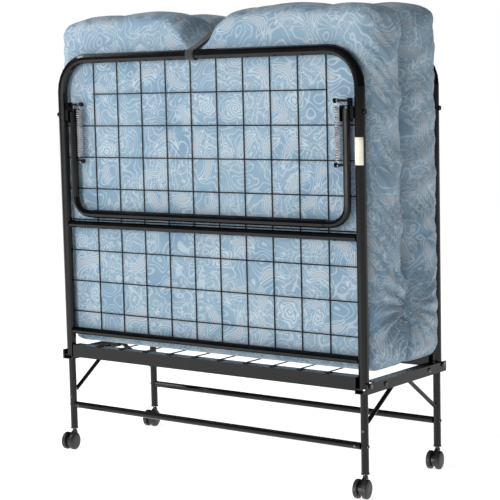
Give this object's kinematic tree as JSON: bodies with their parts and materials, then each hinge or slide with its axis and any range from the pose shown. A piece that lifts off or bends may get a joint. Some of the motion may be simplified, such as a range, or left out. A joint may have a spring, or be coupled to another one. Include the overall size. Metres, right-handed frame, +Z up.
{
  "type": "folding cot",
  "caption": "Folding cot stored upright: two tube decks with wire mesh and swing-out legs fold about a wheeled base, a mattress folded in a U between them, strap over the top.",
  "frame": {"origin": "on the floor, at the middle of the bounding box's bottom face", "axes": "+Z up; X along the cot's width, +X to the right of someone facing the front deck; -Y is the side the front deck faces; the open cot lies along Y"},
  "size_m": [0.9858, 0.392, 1.152],
  "materials": {
    "frame_black": "semi-gloss black powder coat",
    "wire_black": "black coated wire",
    "bolt_black": "dark oxide steel",
    "spring_zinc": "zinc-plated wire",
    "caster_black": "black nylon",
    "wheel_black": "black nylon wheels",
    "socket_black": "black plastic insert",
    "ticking_blue": "light blue damask ticking over foam",
    "strap_black": "black woven webbing"
  },
  "bodies": {
    "base": {"base_rail_front": "frame_black", "base_rail_rear": "frame_black", "end_plate_left": "frame_black", "end_plate_right": "frame_black", "base_mesh": "wire_black", "stretcher_front": "frame_black", "stretcher_rear": "frame_black", "mattress_middle": "ticking_blue", "base_leg_front_left": "frame_black", "brace_front_left": "frame_black", "clevis_front_left": "frame_black", "pivot_bolt_front_left": "bolt_black", "caster_socket_front_left": "socket_black", "base_leg_front_right": "frame_black", "brace_front_right": "frame_black", "clevis_front_right": "frame_black", "pivot_bolt_front_right": "bolt_black", "caster_socket_front_right": "socket_black", "base_leg_rear_left": "frame_black", "brace_rear_left": "frame_black", "clevis_rear_left": "frame_black", "pivot_bolt_rear_left": "bolt_black", "caster_socket_rear_left": "socket_black", "base_leg_rear_right": "frame_black", "brace_rear_right": "frame_black", "clevis_rear_right": "frame_black", "pivot_bolt_rear_right": "bolt_black", "caster_socket_rear_right": "socket_black"},
    "front_deck": {"front_deck_frame": "frame_black", "front_deck_mid_tube": "frame_black", "front_deck_low_tube": "frame_black", "front_deck_mesh": "wire_black", "front_leg_bracket_left": "frame_black", "front_leg_bracket_right": "frame_black", "front_strap": "strap_black"},
    "front_leg": {"front_leg_frame": "frame_black", "front_foot_sleeve": "frame_black"},
    "front_mattress_half": {"mattress_front": "ticking_blue"},
    "front_spring_left": {"front_spring_left": "spring_zinc"},
    "caster_front_left": {"caster_body_front_left": "caster_black"},
    "wheels_front_left": {"caster_wheels_front_left": "wheel_black"},
    "front_spring_right": {"front_spring_right": "spring_zinc"},
    "caster_front_right": {"caster_body_front_right": "caster_black"},
    "wheels_front_right": {"caster_wheels_front_right": "wheel_black"},
    "rear_deck": {"rear_deck_frame": "frame_black", "rear_deck_mid_tube": "frame_black", "rear_deck_low_tube": "frame_black", "rear_deck_mesh": "wire_black", "rear_leg_bracket_left": "frame_black", "rear_leg_bracket_right": "frame_black", "rear_strap": "strap_black"},
    "rear_leg": {"rear_leg_frame": "frame_black", "rear_foot_sleeve": "frame_black"},
    "rear_mattress_half": {"mattress_rear": "ticking_blue"},
    "rear_spring_left": {"rear_spring_left": "spring_zinc"},
    "caster_rear_left": {"caster_body_rear_left": "caster_black"},
    "wheels_rear_left": {"caster_wheels_rear_left": "wheel_black"},
    "rear_spring_right": {"rear_spring_right": "spring_zinc"},
    "caster_rear_right": {"caster_body_rear_right": "caster_black"},
    "wheels_rear_right": {"caster_wheels_rear_right": "wheel_black"}
  },
  "joints": [
    {"name": "front_deck_fold", "type": "hinge", "parent": "base", "child": "front_deck", "pos_m": [-0.00035, -0.15202, 0.264], "axis": [1, 0, 0], "range_deg": [0, 90]},
    {"name": "front_leg_fold", "type": "hinge", "parent": "front_deck", "child": "front_leg", "pos_m": [-0.00035, -0.15352, 0.901], "axis": [-1, 0, 0], "range_deg": [0, 99.4]},
    {"name": "front_mattress_fold", "type": "hinge", "parent": "base", "child": "front_mattress_half", "pos_m": [-0.00035, -0.10002, 0.316], "axis": [1, 0, 0], "range_deg": [0, 90]},
    {"name": "front_spring_swing_left", "type": "hinge", "parent": "front_deck", "child": "front_spring_left", "pos_m": [-0.40935, -0.15352, 0.927], "axis": [-1, 0, 0], "range_deg": [0, 87.2], "deforming": ["front_spring_left"]},
    {"name": "caster_swivel_front_left", "type": "hinge", "parent": "base", "child": "caster_front_left", "pos_m": [-0.46935, -0.15202, 0.06], "axis": [0, 0, 1], "continuous": true},
    {"name": "wheel_roll_front_left", "type": "hinge", "parent": "caster_front_left", "child": "wheels_front_left", "pos_m": [-0.46605, -0.17073, 0.023], "axis": [0.9848, 0.1736, 0], "continuous": true},
    {"name": "front_spring_swing_right", "type": "hinge", "parent": "front_deck", "child": "front_spring_right", "pos_m": [0.40865, -0.15352, 0.927], "axis": [-1, 0, 0], "range_deg": [0, 87.2], "deforming": ["front_spring_right"]},
    {"name": "caster_swivel_front_right", "type": "hinge", "parent": "base", "child": "caster_front_right", "pos_m": [0.46865, -0.15202, 0.06], "axis": [0, 0, 1], "continuous": true},
    {"name": "wheel_roll_front_right", "type": "hinge", "parent": "caster_front_right", "child": "wheels_front_right", "pos_m": [0.47195, -0.17073, 0.023], "axis": [0.9848, 0.1736, 0], "continuous": true},
    {"name": "rear_deck_fold", "type": "hinge", "parent": "base", "child": "rear_deck", "pos_m": [-0.00035, 0.17998, 0.264], "axis": [-1, 0, 0], "range_deg": [0, 90]},
    {"name": "rear_leg_fold", "type": "hinge", "parent": "rear_deck", "child": "rear_leg", "pos_m": [-0.00035, 0.18148, 0.901], "axis": [1, 0, 0], "range_deg": [0, 99.4]},
    {"name": "rear_mattress_fold", "type": "hinge", "parent": "base", "child": "rear_mattress_half", "pos_m": [-0.00035, 0.12798, 0.316], "axis": [-1, 0, 0], "range_deg": [0, 90]},
    {"name": "rear_spring_swing_left", "type": "hinge", "parent": "rear_deck", "child": "rear_spring_left", "pos_m": [0.40865, 0.18148, 0.927], "axis": [1, 0, 0], "range_deg": [0, 87.2], "deforming": ["rear_spring_left"]},
    {"name": "caster_swivel_rear_left", "type": "hinge", "parent": "base", "child": "caster_rear_left", "pos_m": [-0.46935, 0.17998, 0.06], "axis": [0, 0, 1], "continuous": true},
    {"name": "wheel_roll_rear_left", "type": "hinge", "parent": "caster_rear_left", "child": "wheels_rear_left", "pos_m": [-0.46605, 0.16127, 0.023], "axis": [0.9848, 0.1736, 0], "continuous": true},
    {"name": "rear_spring_swing_right", "type": "hinge", "parent": "rear_deck", "child": "rear_spring_right", "pos_m": [-0.40935, 0.18148, 0.927], "axis": [1, 0, 0], "range_deg": [0, 87.2], "deforming": ["rear_spring_right"]},
    {"name": "caster_swivel_rear_right", "type": "hinge", "parent": "base", "child": "caster_rear_right", "pos_m": [0.46865, 0.17998, 0.06], "axis": [0, 0, 1], "continuous": true},
    {"name": "wheel_roll_rear_right", "type": "hinge", "parent": "caster_rear_right", "child": "wheels_rear_right", "pos_m": [0.47195, 0.16127, 0.023], "axis": [0.9848, 0.1736, 0], "continuous": true}
  ],
  "couplings": [
    {"joint": "front_mattress_fold", "follows": "front_deck_fold", "ratio": 1},
    {"joint": "front_spring_swing_left", "follows": "front_leg_fold", "ratio": 0.877},
    {"joint": "front_spring_swing_right", "follows": "front_leg_fold", "ratio": 0.877},
    {"joint": "rear_mattress_fold", "follows": "rear_deck_fold", "ratio": 1},
    {"joint": "rear_spring_swing_left", "follows": "rear_leg_fold", "ratio": 0.877},
    {"joint": "rear_spring_swing_right", "follows": "rear_leg_fold", "ratio": 0.877}
  ]
}
